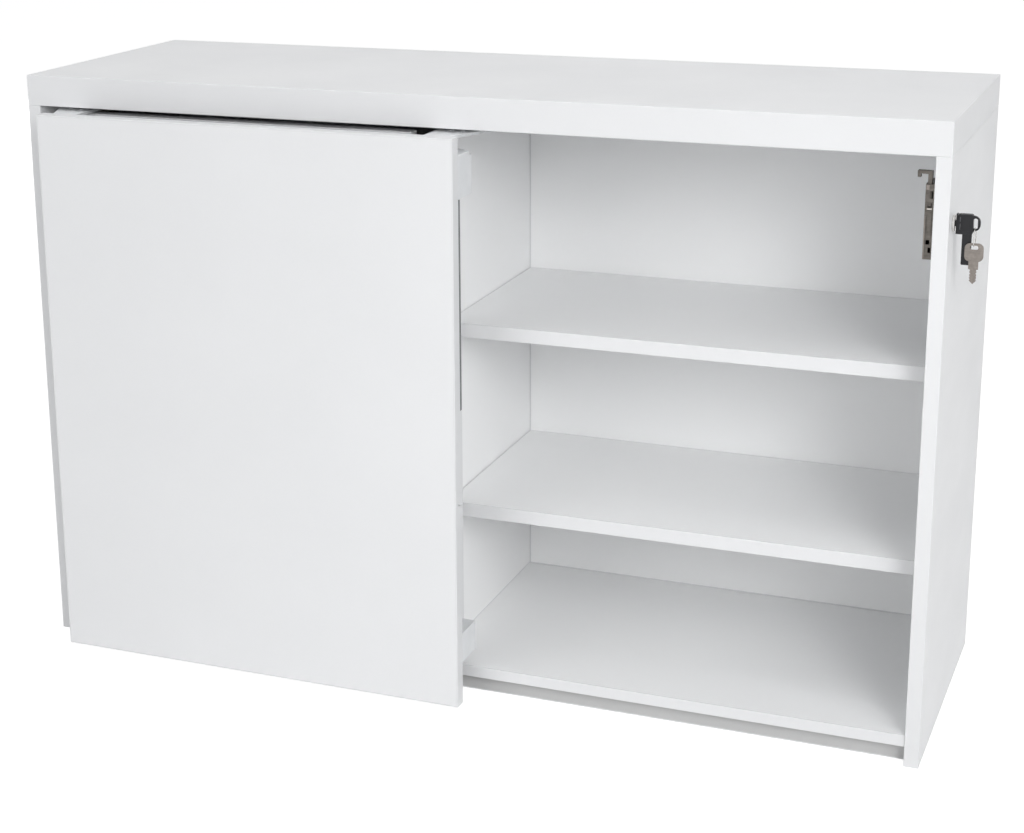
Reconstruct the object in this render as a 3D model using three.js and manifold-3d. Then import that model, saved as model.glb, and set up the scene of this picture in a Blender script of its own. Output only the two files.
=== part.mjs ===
// Office credenza: a white laminated cabinet with two sliding doors on a top-hung track,
// a lock in the right side panel with its folding key, and a spare key on a wire ring.
// Millimetres, +Z up. While the pieces are placed, X runs from the left side panel's outer face,
// Y from the carcass front towards the back, and Z from the floor. At the end the whole object is
// moved so that the origin is at the bottom centre of its bounding box.
import * as THREE from 'three';
import { mergeVertices } from 'three/addons/utils/BufferGeometryUtils.js';
import Module from 'manifold-3d';

// Carcass
const WIDTH = 1200;
const DEPTH = 390;
const HEIGHT = 785;
const BOARD = 18;
const TOP_THICKNESS = 40;
const BOTTOM_THICKNESS = 15;
const PLINTH_HEIGHT = 25;
const PLINTH_SETBACK = 18;
const BOTTOM_SETBACK = 2;
const BACK_INSET = 6;
const LEFT_BAY_WIDTH = 536;
const UPPER_SHELF_TOP = 488;
const LOWER_SHELF_TOP = 246;
const SHELF_SETBACK = 48;
const SHELF_PLAY = 0.5;
const FIT = 0.3;
const OVERCUT = 1;

// Shelf pins
const PIN_RADIUS = 2.5;
const PIN_IN_PANEL = 8;
const PIN_UNDER_SHELF = 8;
const PIN_INSET = 42;

// Sliding doors
const DOOR_OVERLAP = 10;
const FRONT_DOOR_OFFSET = 32;
const FRONT_DOOR_TOP_GAP = 3;
const FRONT_DOOR_FLOOR_GAP = 4;
const FRONT_DOOR_OPEN_LEFT = 44;
const REAR_DOOR_SETBACK = 16;
const REAR_DOOR_TOP_GAP = 9.5;
const REAR_DOOR_BOTTOM_GAP = 4;
const REAR_DOOR_SIDE_GAP = 2;
const DOOR_STOP_GAP = 2;

// Finger pulls: a scoop in the front door's edge and a pocket in the rear door's face
const PULL_HEIGHT = 122;
const PULL_DEPTH = 10;
const PULL_REACH = 14;
const PULL_CENTRE_Z = 336;
const POCKET_WIDTH = 28;
const POCKET_INSET = 30;

// Rear door's hanger notches and the groove for its floor guide
const NOTCH_WIDTH = 57;
const NOTCH_HEIGHT = 22;
const GROOVE_WIDTH = 6;
const GROOVE_DEPTH = 10;
const GUIDE_LENGTH = 9;
const HANGER_PASSAGE = 6;

// Double track under the top: a front channel open to the front, a rear channel open below
const TRACK_SETBACK = 75;
const TRACK_WALL = 2;
const CHANNEL_WIDTH = 22;
const REAR_CHANNEL_WIDTH = 26;
const CHANNEL_HEIGHT = 10;
const TRACK_LIP = 2;
const LIP_REACH = 8;

// Hangers and their rollers
const ROLLER_RADIUS = 4.3;
const ROLLER_WIDTH = 6.5;
const ROLLER_SIDE_GAP = 1;
const ROLLER_WALL_GAP = 8;
const AXLE_RADIUS = 1.2;
const ARM_THICKNESS = 3.8;
const ARM_TOP_GAP = 4;
const ARM_WIDTH = 32;
const ARM_INSET = 14;
const ARM_FLARE = 22;
const ARM_FLARE_DEPTH = 52;
const BRACKET_DEPTH = 30;
const BRACKET_DROP = 42;
const TAB_THICKNESS = 4;
const TAB_CLEARANCE = 0.6;
const HANGER_WIDTH = 34;
const HANGER_INSET = 13;
const HANGER_STEEL = 3;
const HANGER_PLATE_HEIGHT = 36;
const STEM_WIDTH = 6;

// Blocks behind the front door's leading edge
const BLOCK_WIDTH = 60;
const BLOCK_DEPTH = 45;
const KEEPER_TOP_GAP = 26;
const KEEPER_HEIGHT = 54;
const SPACER_HEIGHT = 40;
const SPACER_LIFT = 20;

// Lower guide of the front door
const RAIL_SETBACK = 6;
const RAIL_WIDTH = 11;
const RAIL_HEIGHT = 7;
const RAIL_WALL = 1.2;
const GUIDE_WIDTH = 30;
const GUIDE_INSET = 70;
const GUIDE_STEEL = 3;
const GUIDE_PLATE_HEIGHT = 30;
const GUIDE_CLEARANCE = 1.2;
const NIB_CLEARANCE = 1.8;

// Lock on the inside of the right side panel
const LOCK_SETBACK = 30;
const CASE_DEPTH = 10;
const CASE_WIDTH = 40;
const CASE_SETBACK = 3;
const CASE_TRACK_GAP = 16;
const CASE_BELOW = 38;
const CASE_ABOVE = 48;
const CASE_WALL = 1.5;
const CYLINDER_RADIUS = 8;
const FLANGE_RADIUS = 9.5;
const FLANGE_THICKNESS = 3;
const PLUG_RADIUS = 5;
const CAM_LENGTH = 13;
const CAM_WIDTH = 7;
const CAM_THICKNESS = 3;
const SCREW_RADIUS = 1.6;
const SCREW_HEAD_RADIUS = 3;
const SCREW_HEAD_HEIGHT = 1.5;
const SCREW_IN_PANEL = 10;
const SCREW_SIDE_INSET = 9;
const SCREW_END_INSET = 10.5;

// Hook bolt, raised at rest
const HOOK_WIDTH = 6;
const HOOK_STEM = 5;
const HOOK_ARM = 4;
const HOOK_REACH = 8;
const HOOK_TIP = 4;
const HOOK_TRAVEL = 9;
const HOOK_CLEARANCE = 1;
const HOOK_IN_CASE = 26;

// Folding key in the lock: a base on the blade, and a bow that folds sideways on an upright pin
const KEY_STANDOFF = 1;
const KEY_BASE_PLATE = 2;
const KEY_PIVOT_REACH = 6;
const KEY_HEIGHT = 23;
const KEY_THICKNESS = 7;
const KEY_TONGUE = 8;
const KEY_CORNER = 2.5;
const KEY_BOW_LENGTH = 13;
const KEY_BLADE_HEIGHT = 7;
const KEY_BLADE_THICKNESS = 1.8;
const KEY_BLADE_LENGTH = 18;
const KEY_PIN_RADIUS = 1;
const HANDLE_WIDTH = 10.5;
const HANDLE_LENGTH = 36;
const HANDLE_INSET = 1;
const LOOP_REACH = 8;
const LOOP_HEIGHT = 18;
const LOOP_BAR = 3;
const LOOP_THICKNESS = 3;

// Wire ring and spare key
const RING_RADIUS = 10.5;
const RING_WIRE = 0.6;
const RING_PLAY = 0.45;
const SPARE_BOW_WIDTH = 21;
const SPARE_BOW_HEIGHT = 21;
const SPARE_BOW_CORNER = 6;
const SPARE_NECK_WIDTH = 11;
const SPARE_NECK_LENGTH = 9;
const SPARE_THICKNESS = 2;
const SPARE_BLADE_WIDTH = 7.5;
const SPARE_BLADE_LENGTH = 17;
const SPARE_SLOT_WIDTH = 9;
const SPARE_SLOT_HEIGHT = 5;
const SPARE_SLOT_EDGE = 2.4;
const BITTING_DEPTHS = [0.8, 1.3, 0.6, 1.1];

const wasm = await Module();
wasm.setup();

const laminate = new THREE.MeshStandardMaterial({ color: 0xe9ebed, roughness: 0.42, metalness: 0 });
const aluminium = new THREE.MeshStandardMaterial({ color: 0xb4b7ba, roughness: 0.35, metalness: 1 });
const whitePlastic = new THREE.MeshStandardMaterial({ color: 0xeceeee, roughness: 0.5, metalness: 0 });
const nickel = new THREE.MeshStandardMaterial({ color: 0xb9b3a8, roughness: 0.28, metalness: 1 });
const blackPlastic = new THREE.MeshStandardMaterial({ color: 0x17181a, roughness: 0.45, metalness: 0 });

// Geometry helpers

// A box between two corners
function boxBetween(low, high) {
  const size = high.map((value, axis) => value - low[axis]);
  const geometry = new THREE.BoxGeometry(...size);
  return geometry.translate(...low.map((value, axis) => value + size[axis] / 2));
}

// Geometry turned so that its own X, Y and Z run along the three given directions
function turned(geometry, xAxis, yAxis, zAxis) {
  const basis = new THREE.Matrix4().makeBasis(
    new THREE.Vector3(...xAxis),
    new THREE.Vector3(...yAxis),
    new THREE.Vector3(...zAxis),
  );
  return geometry.applyMatrix4(basis);
}

function extruded(shape, depth) {
  return new THREE.ExtrudeGeometry(shape, { depth, bevelEnabled: false, curveSegments: 8 });
}

function polygon(points) {
  return new THREE.Shape(points.map(([u, v]) => new THREE.Vector2(u, v)));
}

// A profile of Y and Z, drawn along X from one end to the other
function alongX(shape, from, to) {
  const geometry = turned(extruded(shape, to - from), [0, 1, 0], [0, 0, 1], [1, 0, 0]);
  return geometry.translate(from, 0, 0);
}

// A profile of X and Z, drawn along Y from one end to the other
function alongY(shape, from, to) {
  const geometry = turned(extruded(shape, to - from), [1, 0, 0], [0, 0, 1], [0, -1, 0]);
  return geometry.translate(0, to, 0);
}

// A profile of X and Y, drawn along Z from one end to the other
function alongZ(shape, from, to) {
  return extruded(shape, to - from).translate(0, 0, from);
}

// Round rods along each axis, with few sides for pins and screws and more for larger rounds
const FEW_SIDES = 12;
const ROUND_SIDES = 32;

function rodAlongX(radius, from, to, y, z, sides) {
  const geometry = new THREE.CylinderGeometry(radius, radius, to - from, sides);
  return geometry.rotateZ(Math.PI / 2).translate((from + to) / 2, y, z);
}

function rodAlongY(radius, from, to, x, z, sides) {
  const geometry = new THREE.CylinderGeometry(radius, radius, to - from, sides);
  return geometry.translate(x, (from + to) / 2, z);
}

function rodAlongZ(radius, from, to, x, y, sides) {
  const geometry = new THREE.CylinderGeometry(radius, radius, to - from, sides);
  return geometry.rotateX(Math.PI / 2).translate(x, y, (from + to) / 2);
}

// A closed outline with round corners
function roundedRectangle(left, low, width, height, radius) {
  const right = left + width;
  const high = low + height;
  const shape = new THREE.Shape();
  shape.moveTo(left + radius, low);
  shape.lineTo(right - radius, low);
  shape.absarc(right - radius, low + radius, radius, -Math.PI / 2, 0);
  shape.lineTo(right, high - radius);
  shape.absarc(right - radius, high - radius, radius, 0, Math.PI / 2);
  shape.lineTo(left + radius, high);
  shape.absarc(left + radius, high - radius, radius, Math.PI / 2, Math.PI);
  shape.lineTo(left, low + radius);
  shape.absarc(left + radius, low + radius, radius, Math.PI, Math.PI * 1.5);
  return shape;
}

function solidOf(geometry) {
  const bare = geometry.clone();
  bare.deleteAttribute('normal');
  bare.deleteAttribute('uv');
  const merged = mergeVertices(bare, 1e-4);
  const vertProperties = new Float32Array(merged.attributes.position.array);
  const triVerts = new Uint32Array(merged.index.array);
  return new wasm.Manifold(new wasm.Mesh({ numProp: 3, vertProperties, triVerts }));
}

function geometryOf(solid) {
  const mesh = solid.getMesh();
  const geometry = new THREE.BufferGeometry();
  geometry.setAttribute('position', new THREE.BufferAttribute(new Float32Array(mesh.vertProperties), 3));
  geometry.setIndex(new THREE.BufferAttribute(new Uint32Array(mesh.triVerts), 1));
  geometry.computeVertexNormals();
  return geometry;
}

// One body of geometry with others joined to it and others cut out of it
function shaped(geometry, { joined = [], cuts = [] }) {
  let solid = solidOf(geometry);
  for (const piece of joined) solid = solid.add(solidOf(piece));
  for (const piece of cuts) solid = solid.subtract(solidOf(piece));
  return geometryOf(solid);
}

function place(group, name, geometry, material) {
  const mesh = new THREE.Mesh(geometry, material);
  mesh.name = name;
  group.add(mesh);
}

// Levels and faces that several pieces share
const topUnderside = HEIGHT - TOP_THICKNESS;
const bottomTop = PLINTH_HEIGHT + BOTTOM_THICKNESS;
const rightInner = WIDTH - BOARD;
const dividerLeft = BOARD + LEFT_BAY_WIDTH;
const dividerRight = dividerLeft + BOARD;
const backRear = DEPTH - BACK_INSET;
const backFront = backRear - BOARD;
const lockFace = rightInner - CASE_DEPTH;
const doorWidth = (lockFace - DOOR_STOP_GAP - BOARD - REAR_DOOR_SIDE_GAP + DOOR_OVERLAP) / 2;
const frontDoorTop = topUnderside - FRONT_DOOR_TOP_GAP;
const rearDoorTop = topUnderside - REAR_DOOR_TOP_GAP;
const rearDoorBack = REAR_DOOR_SETBACK + BOARD;

// Track levels, and where the rollers run in it
const trackCeiling = topUnderside - TRACK_WALL;
const trackFloor = trackCeiling - CHANNEL_HEIGHT;
const trackMiddle = TRACK_SETBACK + CHANNEL_WIDTH;
const rearChannelFront = trackMiddle + TRACK_WALL;
const rearChannelBack = rearChannelFront + REAR_CHANNEL_WIDTH;
const trackBack = rearChannelBack + TRACK_WALL;
const rearLipTop = trackFloor - TRACK_WALL;
const trackLow = rearLipTop - TRACK_LIP;
const armTop = topUnderside - ARM_TOP_GAP;
const armLow = armTop - ARM_THICKNESS;
const frontRollerZ = trackFloor + FIT + ROLLER_RADIUS;
const rearRollerZ = rearLipTop + FIT + ROLLER_RADIUS;
const hangerFlangeTop = trackLow - HANGER_STEEL;
const hangerFlangeLow = hangerFlangeTop - HANGER_STEEL;

// Lock axis and the hook's levels
const caseTop = trackLow - CASE_TRACK_GAP;
const lockHeight = caseTop - CASE_ABOVE;
const caseLow = lockHeight - CASE_BELOW;
const caseBack = CASE_SETBACK + CASE_WIDTH;
const keeperTop = topUnderside - KEEPER_TOP_GAP;
const hookTipLow = keeperTop + HOOK_CLEARANCE;
const hookArmLow = hookTipLow + HOOK_TIP;
const hookArmTop = hookArmLow + HOOK_ARM;
const hookFront = CASE_SETBACK + CASE_WALL + FIT;
const hookBack = hookFront + HOOK_WIDTH;
const hookRight = lockFace + CASE_WALL + FIT + HOOK_STEM;
const hookTipLeft = lockFace - DOOR_STOP_GAP - HOOK_REACH;
const screwY = caseBack - SCREW_SIDE_INSET;
const screwLevels = [caseLow + SCREW_END_INSET, caseTop - SCREW_END_INSET];

// Shelf pin positions
const pinFront = SHELF_SETBACK + PIN_INSET;
const pinBack = backFront - PIN_INSET;
const shelfTops = { upper: UPPER_SHELF_TOP, lower: LOWER_SHELF_TOP };
const pinHole = PIN_RADIUS + FIT;
function pinLevel(shelfTop) {
  return shelfTop - BOARD - FIT - PIN_RADIUS;
}
function pinHoles(from, to) {
  const holes = [];
  for (const top of Object.values(shelfTops)) {
    for (const y of [pinFront, pinBack]) {
      holes.push(rodAlongX(pinHole, from, to, y, pinLevel(top), FEW_SIDES));
    }
  }
  return holes;
}

const credenza = new THREE.Group();

// Carcass boards: the two sides carry the top, and everything else stands between them
const carcass = new THREE.Group();
credenza.add(carcass);
place(carcass, 'top_panel', boxBetween([0, 0, topUnderside], [WIDTH, DEPTH, HEIGHT]), laminate);
place(carcass, 'left_side_panel', shaped(
  boxBetween([0, 0, 0], [BOARD, DEPTH, topUnderside]),
  { cuts: pinHoles(BOARD - PIN_IN_PANEL - FIT, BOARD + OVERCUT) },
), laminate);
const screwHoles = screwLevels.map((z) => rodAlongX(
  SCREW_RADIUS + FIT, rightInner - OVERCUT, rightInner + SCREW_IN_PANEL + FIT, screwY, z, FEW_SIDES,
));
place(carcass, 'right_side_panel', shaped(
  boxBetween([rightInner, 0, 0], [WIDTH, DEPTH, topUnderside]),
  {
    cuts: [
      ...pinHoles(rightInner - OVERCUT, rightInner + PIN_IN_PANEL + FIT),
      ...screwHoles,
      rodAlongX(
        CYLINDER_RADIUS + FIT, rightInner - OVERCUT, WIDTH + OVERCUT, LOCK_SETBACK, lockHeight, ROUND_SIDES,
      ),
    ],
  },
), laminate);
const railBack = RAIL_SETBACK + RAIL_WIDTH;
const railTop = PLINTH_HEIGHT + RAIL_HEIGHT;
place(carcass, 'bottom_panel', shaped(
  boxBetween([BOARD, BOTTOM_SETBACK, PLINTH_HEIGHT], [rightInner, backRear, bottomTop]),
  {
    cuts: [boxBetween(
      [BOARD - OVERCUT, RAIL_SETBACK, PLINTH_HEIGHT - OVERCUT],
      [rightInner + OVERCUT, railBack, railTop],
    )],
  },
), laminate);
const trackNotch = boxBetween(
  [dividerLeft - OVERCUT, SHELF_SETBACK - OVERCUT, hangerFlangeLow - HANGER_PASSAGE],
  [dividerRight + OVERCUT, trackBack + FIT, topUnderside + OVERCUT],
);
place(carcass, 'centre_divider', shaped(
  boxBetween([dividerLeft, SHELF_SETBACK, bottomTop], [dividerRight, backRear, topUnderside]),
  { cuts: [trackNotch, ...pinHoles(dividerLeft - OVERCUT, dividerRight + OVERCUT)] },
), laminate);
place(carcass, 'left_back_panel', boxBetween(
  [BOARD, backFront, bottomTop],
  [dividerLeft, backRear, topUnderside],
), laminate);
place(carcass, 'right_back_panel', boxBetween(
  [dividerRight, backFront, bottomTop],
  [rightInner, backRear, topUnderside],
), laminate);
const plinthBack = PLINTH_SETBACK + BOARD;
place(carcass, 'front_plinth', boxBetween(
  [BOARD, PLINTH_SETBACK, 0],
  [rightInner, plinthBack, PLINTH_HEIGHT],
), laminate);
place(carcass, 'rear_plinth', boxBetween(
  [BOARD, backFront, 0],
  [rightInner, backRear, PLINTH_HEIGHT],
), laminate);
place(carcass, 'plinth_brace', boxBetween(
  [dividerLeft, plinthBack, 0],
  [dividerRight, backFront, PLINTH_HEIGHT],
), laminate);

// Loose shelves, each on four pins; the divider's pins go right through and carry both sides
const bays = {
  left: [BOARD + SHELF_PLAY, dividerLeft - SHELF_PLAY],
  right: [dividerRight + SHELF_PLAY, rightInner - SHELF_PLAY],
};
const pinRuns = {
  left: [BOARD - PIN_IN_PANEL, BOARD + PIN_UNDER_SHELF],
  centre: [dividerLeft - PIN_UNDER_SHELF, dividerRight + PIN_UNDER_SHELF],
  right: [rightInner - PIN_UNDER_SHELF, rightInner + PIN_IN_PANEL],
};
for (const [level, top] of Object.entries(shelfTops)) {
  for (const [side, [from, to]] of Object.entries(bays)) {
    place(carcass, `${side}_${level}_shelf`, boxBetween(
      [from, SHELF_SETBACK, top - BOARD],
      [to, backFront - SHELF_PLAY, top],
    ), laminate);
  }
  for (const [side, [from, to]] of Object.entries(pinRuns)) {
    for (const [end, y] of Object.entries({ front: pinFront, back: pinBack })) {
      const pin = rodAlongX(PIN_RADIUS, from, to, y, pinLevel(top), FEW_SIDES);
      place(carcass, `${side}_${level}_${end}_pin`, pin, nickel);
    }
  }
}

// Double track under the top: its front channel is open to the front, its rear one below
const trackProfile = polygon([
  [TRACK_SETBACK, topUnderside],
  [TRACK_SETBACK, trackCeiling],
  [trackMiddle, trackCeiling],
  [trackMiddle, trackFloor],
  [TRACK_SETBACK + TRACK_WALL, trackFloor],
  [TRACK_SETBACK + TRACK_WALL, trackFloor + TRACK_LIP],
  [TRACK_SETBACK, trackFloor + TRACK_LIP],
  [TRACK_SETBACK, trackFloor - TRACK_WALL],
  [trackMiddle, trackFloor - TRACK_WALL],
  [trackMiddle, trackLow],
  [rearChannelFront + LIP_REACH, trackLow],
  [rearChannelFront + LIP_REACH, rearLipTop],
  [rearChannelFront, rearLipTop],
  [rearChannelFront, trackCeiling],
  [rearChannelBack, trackCeiling],
  [rearChannelBack, rearLipTop],
  [rearChannelBack - LIP_REACH, rearLipTop],
  [rearChannelBack - LIP_REACH, trackLow],
  [trackBack, trackLow],
  [trackBack, topUnderside],
]);
place(carcass, 'top_track', alongX(trackProfile, BOARD, rightInner), aluminium);

// Lower rail let into the bottom panel's underside, open below, for the front door's guides
const railProfile = polygon([
  [RAIL_SETBACK, railTop],
  [RAIL_SETBACK, PLINTH_HEIGHT],
  [RAIL_SETBACK + RAIL_WALL, PLINTH_HEIGHT],
  [RAIL_SETBACK + RAIL_WALL, railTop - RAIL_WALL],
  [railBack - RAIL_WALL, railTop - RAIL_WALL],
  [railBack - RAIL_WALL, PLINTH_HEIGHT],
  [railBack, PLINTH_HEIGHT],
  [railBack, railTop],
]);
place(carcass, 'lower_guide_rail', alongX(railProfile, BOARD, rightInner), aluminium);

// Floor guide of the rear door, where the door's groove stays over it along the whole travel
const rearDoorLeft = BOARD + REAR_DOOR_SIDE_GAP;
const guideRight = rearDoorLeft + doorWidth - SHELF_PLAY;
const grooveMiddle = REAR_DOOR_SETBACK + BOARD / 2;
const tongueHalf = GROOVE_WIDTH / 2 - SHELF_PLAY;
const rearDoorLow = bottomTop + REAR_DOOR_BOTTOM_GAP;
place(carcass, 'rear_door_guide', shaped(
  boxBetween(
    [guideRight - GUIDE_LENGTH, REAR_DOOR_SETBACK, bottomTop],
    [guideRight, rearDoorBack, rearDoorLow - SHELF_PLAY],
  ),
  {
    joined: [boxBetween(
      [guideRight - GUIDE_LENGTH, grooveMiddle - tongueHalf, bottomTop],
      [guideRight, grooveMiddle + tongueHalf, rearDoorLow + GROOVE_DEPTH - SHELF_PLAY],
    )],
  },
), whitePlastic);

// A nylon roller with the bore for its axle
function rollerBetween(front, back, x, z) {
  const bore = rodAlongY(AXLE_RADIUS + FIT, front - OVERCUT, back + OVERCUT, x, z, FEW_SIDES);
  return shaped(rodAlongY(ROLLER_RADIUS, front, back, x, z, ROUND_SIDES), { cuts: [bore] });
}

// Rear door: inset, hung on two steel hangers behind notches in its top corners
const rearDoor = new THREE.Group();
rearDoor.position.x = rearDoorLeft;
credenza.add(rearDoor);
const pocket = roundedRectangle(
  POCKET_INSET, PULL_CENTRE_Z - PULL_HEIGHT / 2, POCKET_WIDTH, PULL_HEIGHT, POCKET_WIDTH / 2 - FIT,
);
const notchLow = rearDoorTop - NOTCH_HEIGHT;
place(rearDoor, 'rear_door_panel', shaped(
  boxBetween([0, REAR_DOOR_SETBACK, rearDoorLow], [doorWidth, rearDoorBack, rearDoorTop]),
  {
    cuts: [
      alongY(pocket, REAR_DOOR_SETBACK - OVERCUT, REAR_DOOR_SETBACK + PULL_DEPTH),
      boxBetween([-OVERCUT, 0, notchLow], [NOTCH_WIDTH, DEPTH, HEIGHT]),
      boxBetween([doorWidth - NOTCH_WIDTH, 0, notchLow], [doorWidth + OVERCUT, DEPTH, HEIGHT]),
      boxBetween(
        [-OVERCUT, grooveMiddle - GROOVE_WIDTH / 2, rearDoorLow - OVERCUT],
        [doorWidth + OVERCUT, grooveMiddle + GROOVE_WIDTH / 2, rearDoorLow + GROOVE_DEPTH],
      ),
    ],
  },
), laminate);
const stemMiddle = (rearChannelFront + rearChannelBack) / 2;
const stemFront = stemMiddle - STEM_WIDTH / 2;
const stemBack = stemMiddle + STEM_WIDTH / 2;
const rearRollerBack = rearChannelBack - ROLLER_SIDE_GAP;
const rearRollerFront = rearRollerBack - ROLLER_WIDTH;
const hangerProfile = polygon([
  [rearDoorBack, hangerFlangeTop - HANGER_PLATE_HEIGHT],
  [rearDoorBack + HANGER_STEEL, hangerFlangeTop - HANGER_PLATE_HEIGHT],
  [rearDoorBack + HANGER_STEEL, hangerFlangeLow],
  [stemBack, hangerFlangeLow],
  [stemBack, rearRollerZ + ROLLER_RADIUS / 2],
  [stemFront, rearRollerZ + ROLLER_RADIUS / 2],
  [stemFront, hangerFlangeTop],
  [rearDoorBack, hangerFlangeTop],
]);
const rearHangerLefts = { left: HANGER_INSET, right: doorWidth - HANGER_INSET - HANGER_WIDTH };
for (const [side, left] of Object.entries(rearHangerLefts)) {
  const middle = left + HANGER_WIDTH / 2;
  place(rearDoor, `rear_hanger_${side}`, shaped(
    alongX(hangerProfile, left, left + HANGER_WIDTH),
    { joined: [rodAlongY(AXLE_RADIUS, stemBack - OVERCUT, rearRollerBack, middle, rearRollerZ, FEW_SIDES)] },
  ), nickel);
  const roller = rollerBetween(rearRollerFront, rearRollerBack, middle, rearRollerZ);
  place(rearDoor, `rear_roller_${side}`, roller, whitePlastic);
}

// Front door: stands proud of the carcass, hung on two arms that reach back over the rear door
const frontDoor = new THREE.Group();
frontDoor.position.x = FRONT_DOOR_OPEN_LEFT;
credenza.add(frontDoor);
const frontDoorBack = -FRONT_DOOR_OFFSET;
const frontDoorFace = frontDoorBack - BOARD;
const pullLeft = doorWidth - PULL_REACH;
const scoop = roundedRectangle(
  pullLeft, PULL_CENTRE_Z - PULL_HEIGHT / 2, PULL_REACH * 3, PULL_HEIGHT, PULL_REACH - FIT,
);
place(frontDoor, 'front_door_panel', shaped(
  boxBetween([0, frontDoorFace, FRONT_DOOR_FLOOR_GAP], [doorWidth, frontDoorBack, frontDoorTop]),
  { cuts: [alongY(scoop, frontDoorBack - PULL_DEPTH, frontDoorBack + OVERCUT)] },
), laminate);

// Blocks on the back of its leading edge: the lock's keeper above and a spacer below
const blockLeft = doorWidth - BLOCK_WIDTH;
const blockBack = frontDoorBack + BLOCK_DEPTH;
const channelDepth = HOOK_TRAVEL - HOOK_TIP;
const channelFront = hookFront - HOOK_CLEARANCE;
const tipRight = doorWidth - HOOK_REACH + HOOK_TIP;
place(frontDoor, 'keeper_block', shaped(
  boxBetween([blockLeft, frontDoorBack, keeperTop - KEEPER_HEIGHT], [doorWidth, blockBack, keeperTop]),
  {
    cuts: [
      boxBetween(
        [doorWidth - HOOK_REACH - HOOK_CLEARANCE, channelFront, keeperTop - channelDepth],
        [doorWidth + OVERCUT, blockBack + OVERCUT, keeperTop + OVERCUT],
      ),
      boxBetween(
        [doorWidth - HOOK_REACH - HOOK_CLEARANCE, channelFront, keeperTop - HOOK_TRAVEL],
        [tipRight + HOOK_CLEARANCE, blockBack + OVERCUT, keeperTop + OVERCUT],
      ),
    ],
  },
), whitePlastic);
const spacerLow = bottomTop + SPACER_LIFT;
place(frontDoor, 'spacer_block', boxBetween(
  [blockLeft, frontDoorBack, spacerLow],
  [doorWidth, blockBack, spacerLow + SPACER_HEIGHT],
), whitePlastic);

// Hangers: a plastic bracket on the door's back carries a steel arm with a roller at its end
const armBack = trackMiddle - ROLLER_WIDTH - ROLLER_WALL_GAP;
const frontRollerFront = armBack + ROLLER_SIDE_GAP;
const frontRollerBack = frontRollerFront + ROLLER_WIDTH;
const armLefts = { left: ARM_INSET, right: doorWidth - ARM_INSET - ARM_WIDTH };
const bracketLows = { left: armLow - BRACKET_DROP, right: keeperTop };
const tabLow = trackFloor + TRACK_LIP + TAB_CLEARANCE;
for (const [side, left] of Object.entries(armLefts)) {
  const right = left + ARM_WIDTH;
  const middle = left + ARM_WIDTH / 2;
  const bracketBack = frontDoorBack + BRACKET_DEPTH;
  const bracketProfile = polygon([
    [frontDoorBack, bracketLows[side]],
    [frontDoorBack + BRACKET_DEPTH / 3, bracketLows[side]],
    [bracketBack, (bracketLows[side] + armLow) / 2],
    [bracketBack, armLow],
    [frontDoorBack, armLow],
  ]);
  place(frontDoor, `front_hanger_bracket_${side}`, alongX(bracketProfile, left, right), whitePlastic);
  const [inner, outer, flare] = side === 'right' ? [left, right, ARM_FLARE] : [right, left, -ARM_FLARE];
  const armOutline = polygon([
    [inner, frontDoorBack],
    [outer, frontDoorBack],
    [outer + flare, frontDoorBack + ARM_FLARE_DEPTH],
    [outer + flare, armBack],
    [inner, armBack],
  ]);
  place(frontDoor, `front_hanger_arm_${side}`, shaped(
    alongZ(armOutline, armLow, armTop),
    {
      joined: [
        boxBetween([left, armBack - TAB_THICKNESS, tabLow], [right, armBack, armTop]),
        rodAlongY(AXLE_RADIUS, armBack - OVERCUT, frontRollerBack, middle, frontRollerZ, FEW_SIDES),
      ],
    },
  ), nickel);
  const roller = rollerBetween(frontRollerFront, frontRollerBack, middle, frontRollerZ);
  place(frontDoor, `front_roller_${side}`, roller, whitePlastic);
}

// Lower guides: steel angles that reach under the bottom panel into the rail
const nibFront = RAIL_SETBACK + RAIL_WALL + NIB_CLEARANCE;
const nibBack = railBack - RAIL_WALL - NIB_CLEARANCE;
const guideLow = FRONT_DOOR_FLOOR_GAP + GUIDE_CLEARANCE;
const lowerGuideProfile = polygon([
  [frontDoorBack, guideLow],
  [nibBack, guideLow],
  [nibBack, railTop - RAIL_WALL - GUIDE_CLEARANCE],
  [nibFront, railTop - RAIL_WALL - GUIDE_CLEARANCE],
  [nibFront, guideLow + GUIDE_STEEL],
  [frontDoorBack + GUIDE_STEEL, guideLow + GUIDE_STEEL],
  [frontDoorBack + GUIDE_STEEL, guideLow + GUIDE_PLATE_HEIGHT],
  [frontDoorBack, guideLow + GUIDE_PLATE_HEIGHT],
]);
const guideLefts = { left: GUIDE_INSET, right: doorWidth - GUIDE_INSET - GUIDE_WIDTH };
for (const [side, left] of Object.entries(guideLefts)) {
  place(frontDoor, `lower_guide_${side}`, alongX(lowerGuideProfile, left, left + GUIDE_WIDTH), nickel);
}

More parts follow.
